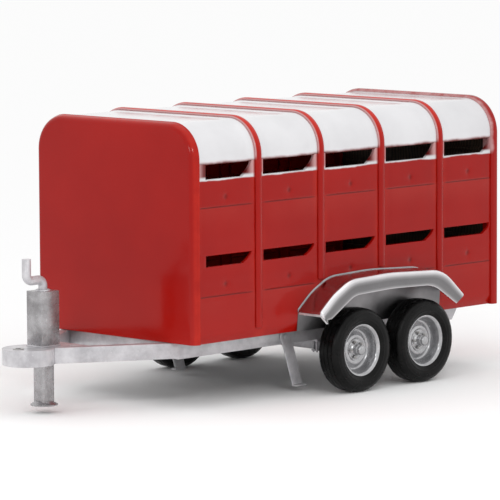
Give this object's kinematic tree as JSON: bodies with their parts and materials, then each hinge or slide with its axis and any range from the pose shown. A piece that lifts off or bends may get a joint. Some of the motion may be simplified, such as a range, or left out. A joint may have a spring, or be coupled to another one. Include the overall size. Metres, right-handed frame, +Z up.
{
  "type": "livestock trailer",
  "caption": "Two-axle livestock trailer with a ribbed, vented body, roof shoulders, rear ramp, mudguards, A-frame drawbar, ring hitch and screw jack.",
  "frame": {"origin": "on the ground, under the middle of the trailer's overall box", "axes": "+X forward to the hitch, +Y to the trailer's left side, +Z up"},
  "size_m": [5.043, 2.476, 2.414],
  "materials": {
    "red_paint": "gloss red enamel",
    "white_paint": "satin white enamel",
    "silver_paint": "satin silver paint",
    "guard_metal": "polished",
    "rim_silver": "satin silver",
    "bare_steel": "machined",
    "tyre": "clean black rubber",
    "timber": "worn phenolic-faced board"
  },
  "bodies": {
    "trailer": {"chassis_rails": "silver_paint", "crossmembers": "silver_paint", "drawbar_arms": "silver_paint", "drawbar_web": "silver_paint", "hitch_head": "silver_paint", "jack_tube": "silver_paint", "floor_bearers": "silver_paint", "axle_front": "silver_paint", "axle_rear": "silver_paint", "axle_clamps": "silver_paint", "mudguard_left": "guard_metal", "mudguard_right": "guard_metal", "arch_plates": "guard_metal", "tow_eye_bush": "bare_steel", "ramp_hinge_pins": "bare_steel", "wheel_bearings": "bare_steel", "front_cap": "red_paint", "side_lower_left": "red_paint", "side_lower_right": "red_paint", "side_middle_left": "red_paint", "side_middle_right": "red_paint", "side_posts": "red_paint", "roof_bows": "red_paint", "cover_strips": "red_paint", "rear_frame": "red_paint", "roof_top": "white_paint", "roof_shoulder_left": "white_paint", "roof_shoulder_right": "white_paint", "floor_deck": "timber"},
    "jack_leg": {"jack_leg": "silver_paint"},
    "jack_crank": {"jack_screw": "bare_steel", "jack_crank": "silver_paint"},
    "prop_left": {"prop_left": "silver_paint"},
    "prop_right": {"prop_right": "silver_paint"},
    "ramp": {"ramp_frame": "red_paint", "ramp_skin": "red_paint", "ramp_deck": "timber", "ramp_cleats": "timber"},
    "latch_left": {"latch_left": "bare_steel"},
    "latch_right": {"latch_right": "bare_steel"},
    "wheel_front_left": {"tyre_front_left": "tyre", "rim_front_left": "rim_silver", "hub_front_left": "rim_silver", "hub_cap_front_left": "rim_silver", "nuts_front_left": "bare_steel"},
    "wheel_front_right": {"tyre_front_right": "tyre", "rim_front_right": "rim_silver", "hub_front_right": "rim_silver", "hub_cap_front_right": "rim_silver", "nuts_front_right": "bare_steel"},
    "wheel_rear_left": {"tyre_rear_left": "tyre", "rim_rear_left": "rim_silver", "hub_rear_left": "rim_silver", "hub_cap_rear_left": "rim_silver", "nuts_rear_left": "bare_steel"},
    "wheel_rear_right": {"tyre_rear_right": "tyre", "rim_rear_right": "rim_silver", "hub_rear_right": "rim_silver", "hub_cap_rear_right": "rim_silver", "nuts_rear_right": "bare_steel"}
  },
  "joints": [
    {"name": "wheel_front_left_spin", "type": "hinge", "parent": "trailer", "child": "wheel_front_left", "pos_m": [-0.4745, 1.086, 0.363], "axis": [0, 1, 0], "continuous": true},
    {"name": "wheel_front_right_spin", "type": "hinge", "parent": "trailer", "child": "wheel_front_right", "pos_m": [-0.4745, -1.086, 0.363], "axis": [0, 1, 0], "continuous": true},
    {"name": "wheel_rear_left_spin", "type": "hinge", "parent": "trailer", "child": "wheel_rear_left", "pos_m": [-1.2845, 1.086, 0.363], "axis": [0, 1, 0], "continuous": true},
    {"name": "wheel_rear_right_spin", "type": "hinge", "parent": "trailer", "child": "wheel_rear_right", "pos_m": [-1.2845, -1.086, 0.363], "axis": [0, 1, 0], "continuous": true},
    {"name": "jack_crank_turn", "type": "hinge", "parent": "trailer", "child": "jack_crank", "pos_m": [2.1355, 0, 1], "axis": [0, 0, 1], "range_deg": [-5400, 7200]},
    {"name": "jack_leg_slide", "type": "slide", "parent": "trailer", "child": "jack_leg", "axis": [0, 0, -1], "range_m": [-0.15, 0.2]},
    {"name": "prop_left_swing", "type": "hinge", "parent": "trailer", "child": "prop_left", "pos_m": [-0.0045, 0.71, 0.49], "axis": [0, -1, 0], "range_deg": [0, 95]},
    {"name": "prop_right_swing", "type": "hinge", "parent": "trailer", "child": "prop_right", "pos_m": [-0.0045, -0.71, 0.49], "axis": [0, -1, 0], "range_deg": [0, 95]},
    {"name": "ramp_swing", "type": "hinge", "parent": "trailer", "child": "ramp", "pos_m": [-2.5045, 0, 0.605], "axis": [0, -1, 0], "range_deg": [0, 111]},
    {"name": "latch_left_turn", "type": "hinge", "parent": "trailer", "child": "latch_left", "pos_m": [-2.4945, 0.907, 1.81], "axis": [-1, 0, 0], "range_deg": [0, 100]},
    {"name": "latch_right_turn", "type": "hinge", "parent": "trailer", "child": "latch_right", "pos_m": [-2.4945, -0.907, 1.81], "axis": [1, 0, 0], "range_deg": [0, 100]}
  ],
  "couplings": [
    {"joint": "jack_leg_slide", "follows": "jack_crank_turn", "m_per_rad": 0.0015915}
  ]
}
